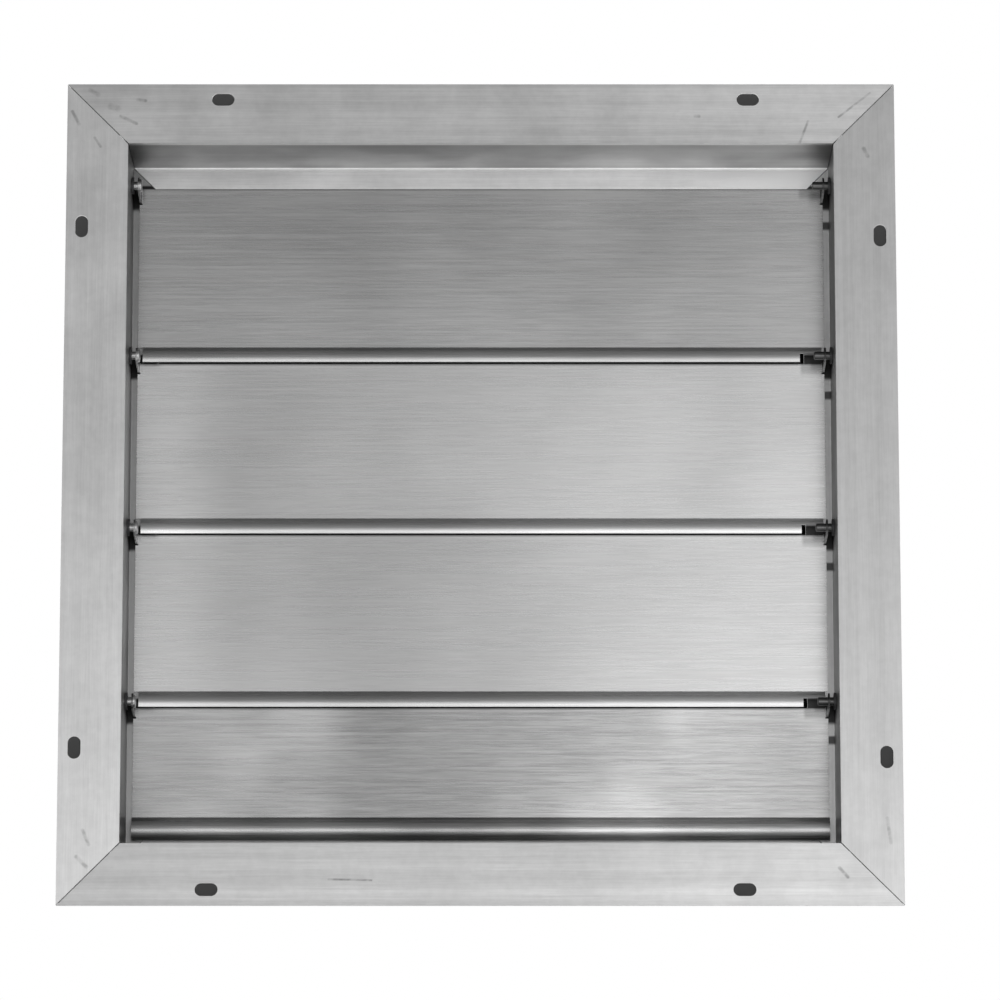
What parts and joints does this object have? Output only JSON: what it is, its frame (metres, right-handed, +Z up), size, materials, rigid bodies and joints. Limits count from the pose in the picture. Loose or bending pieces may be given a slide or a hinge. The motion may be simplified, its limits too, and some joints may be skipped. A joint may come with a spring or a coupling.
{
  "type": "gable vent",
  "caption": "Square aluminium gable vent shutter: mitred flanged frame with screw slots, and gravity blades that swing outwards on pivot pins.",
  "frame": {"origin": "centre of the vent on the plane where the flange meets the wall", "axes": "+X to the right and +Z up as seen from outside, +Y back into the wall"},
  "size_m": [0.4064, 0.0508, 0.4064],
  "materials": {
    "rail_aluminium": "mill finish extrusion",
    "blade_aluminium": "brushed sheet",
    "key_aluminium": "mill finish strip",
    "pin_steel": "drawn steel",
    "bushing_nylon": "moulded nylon"
  },
  "bodies": {
    "frame": {"frame_top": "rail_aluminium", "frame_right": "rail_aluminium", "frame_bottom": "rail_aluminium", "frame_left": "rail_aluminium", "corner_key_1": "key_aluminium", "corner_key_2": "key_aluminium", "corner_key_3": "key_aluminium", "corner_key_4": "key_aluminium", "bushing_left_1": "bushing_nylon", "bushing_right_1": "bushing_nylon", "bushing_left_2": "bushing_nylon", "bushing_right_2": "bushing_nylon", "bushing_left_3": "bushing_nylon", "bushing_right_3": "bushing_nylon", "bushing_left_4": "bushing_nylon", "bushing_right_4": "bushing_nylon"},
    "blade_1": {"blade_1": "blade_aluminium", "pin_left_1": "pin_steel", "pin_right_1": "pin_steel"},
    "blade_2": {"blade_2": "blade_aluminium", "pin_left_2": "pin_steel", "pin_right_2": "pin_steel"},
    "blade_3": {"blade_3": "blade_aluminium", "pin_left_3": "pin_steel", "pin_right_3": "pin_steel"},
    "blade_4": {"blade_4": "blade_aluminium", "pin_left_4": "pin_steel", "pin_right_4": "pin_steel"}
  },
  "joints": [
    {"name": "blade_1_swing", "type": "hinge", "parent": "frame", "child": "blade_1", "pos_m": [0, 0.0328, 0.1605], "axis": [-1, 0, 0], "range_deg": [0, 75]},
    {"name": "blade_2_swing", "type": "hinge", "parent": "frame", "child": "blade_2", "pos_m": [0, 0.0328, 0.0741], "axis": [-1, 0, 0], "range_deg": [0, 75]},
    {"name": "blade_3_swing", "type": "hinge", "parent": "frame", "child": "blade_3", "pos_m": [0, 0.0328, -0.0123], "axis": [-1, 0, 0], "range_deg": [0, 75]},
    {"name": "blade_4_swing", "type": "hinge", "parent": "frame", "child": "blade_4", "pos_m": [0, 0.0328, -0.0987], "axis": [-1, 0, 0], "range_deg": [0, 75]}
  ]
}
